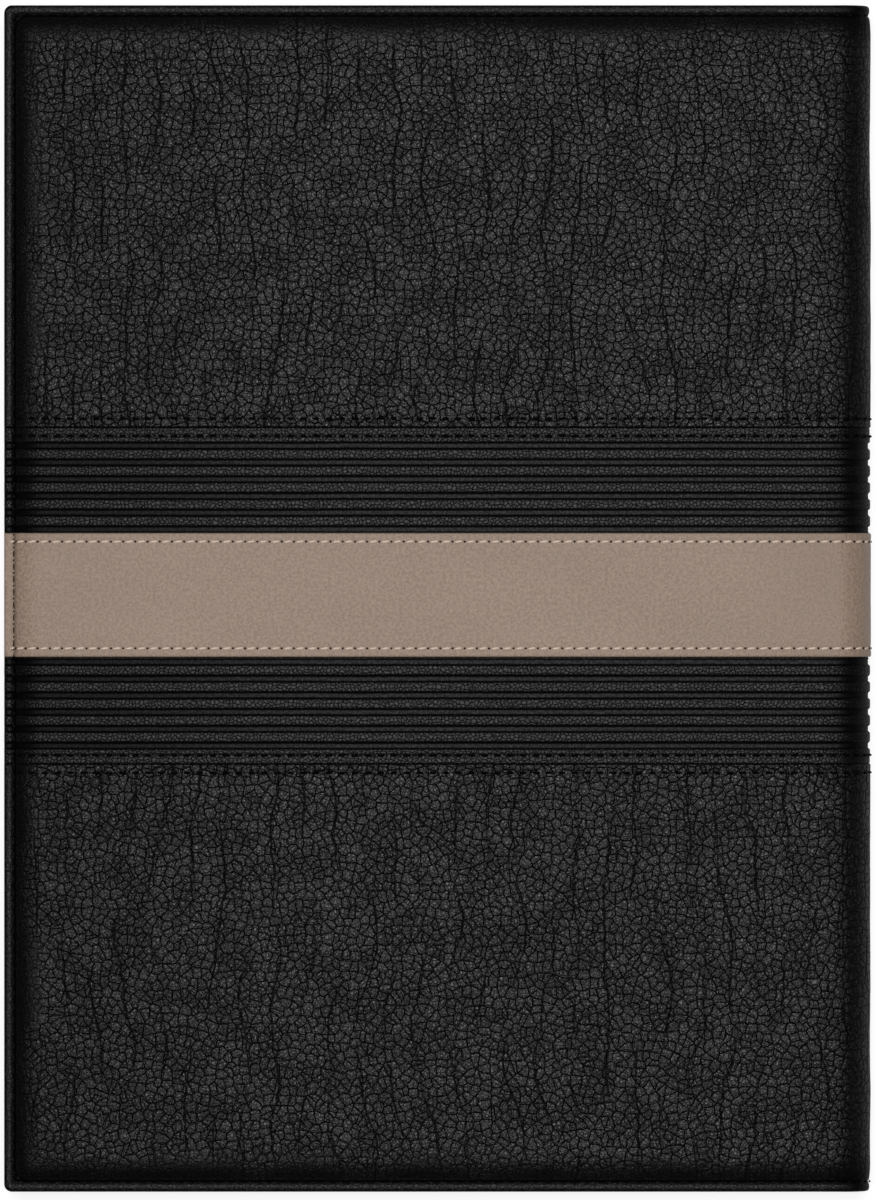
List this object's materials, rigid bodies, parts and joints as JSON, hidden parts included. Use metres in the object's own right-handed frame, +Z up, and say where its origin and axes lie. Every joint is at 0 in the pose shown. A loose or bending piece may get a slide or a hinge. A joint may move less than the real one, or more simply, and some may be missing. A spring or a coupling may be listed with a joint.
{
  "type": "writing folder",
  "caption": "Padded A4 writing folder with a soft rolled spine, pebbled covers, ribbed middle panel and a contrasting sewn band; opens flat to a writing pad.",
  "frame": {"origin": "middle of the underside of the closed folder, which lies on its front cover", "axes": "+X from the fore edge to the spine, +Y from the foot to the head, +Z up through the back cover"},
  "size_m": [0.245, 0.335, 0.025],
  "materials": {
    "grain_leather": "pebbled black leather, satin",
    "ribbed_leather": "fine-grained black leather with pressed channels, satin",
    "band_leather": "smooth taupe leather, satin",
    "lining": "fine matt leathercloth",
    "elastic": "woven elastic, matt",
    "foam": "soft foam sheet",
    "board": "grey pulp board",
    "pad_board": "kraft card",
    "paper": "ruled writing paper, matt",
    "pad_tape": "binding cloth tape"
  },
  "bodies": {
    "front_cover": {"front_grain_panel_head": "grain_leather", "front_ribbed_panel": "ribbed_leather", "front_band": "band_leather", "front_grain_panel_foot": "grain_leather", "front_foam_pad": "foam", "front_board": "board", "front_lining": "lining", "front_gutter_strip": "lining", "front_document_pocket": "lining", "front_card_pocket_1": "lining", "front_card_pocket_2": "lining", "front_card_pocket_3": "lining", "front_pen_loop": "elastic"},
    "spine": {"spine_grain_panel_head": "grain_leather", "spine_ribbed_panel": "ribbed_leather", "spine_band": "band_leather", "spine_grain_panel_foot": "grain_leather", "spine_stiffener": "board", "spine_foam": "foam", "spine_lining": "lining"},
    "back_cover": {"back_grain_panel_head": "grain_leather", "back_ribbed_panel": "ribbed_leather", "back_band": "band_leather", "back_grain_panel_foot": "grain_leather", "back_foam_pad": "foam", "back_board": "board", "back_lining": "lining", "back_gutter_strip": "lining", "back_pad_pocket": "lining", "pad_backing_board": "pad_board", "pad_sheets": "paper", "pad_head_tape": "pad_tape"}
  },
  "joints": [
    {"name": "front_crease", "type": "hinge", "parent": "front_cover", "child": "spine", "pos_m": [0.12035, 0, 0.00215], "axis": [0, 1, 0], "range_deg": [0, 90]},
    {"name": "back_crease", "type": "hinge", "parent": "spine", "child": "back_cover", "pos_m": [0.12035, 0, 0.02285], "axis": [0, 1, 0], "range_deg": [0, 90]}
  ]
}
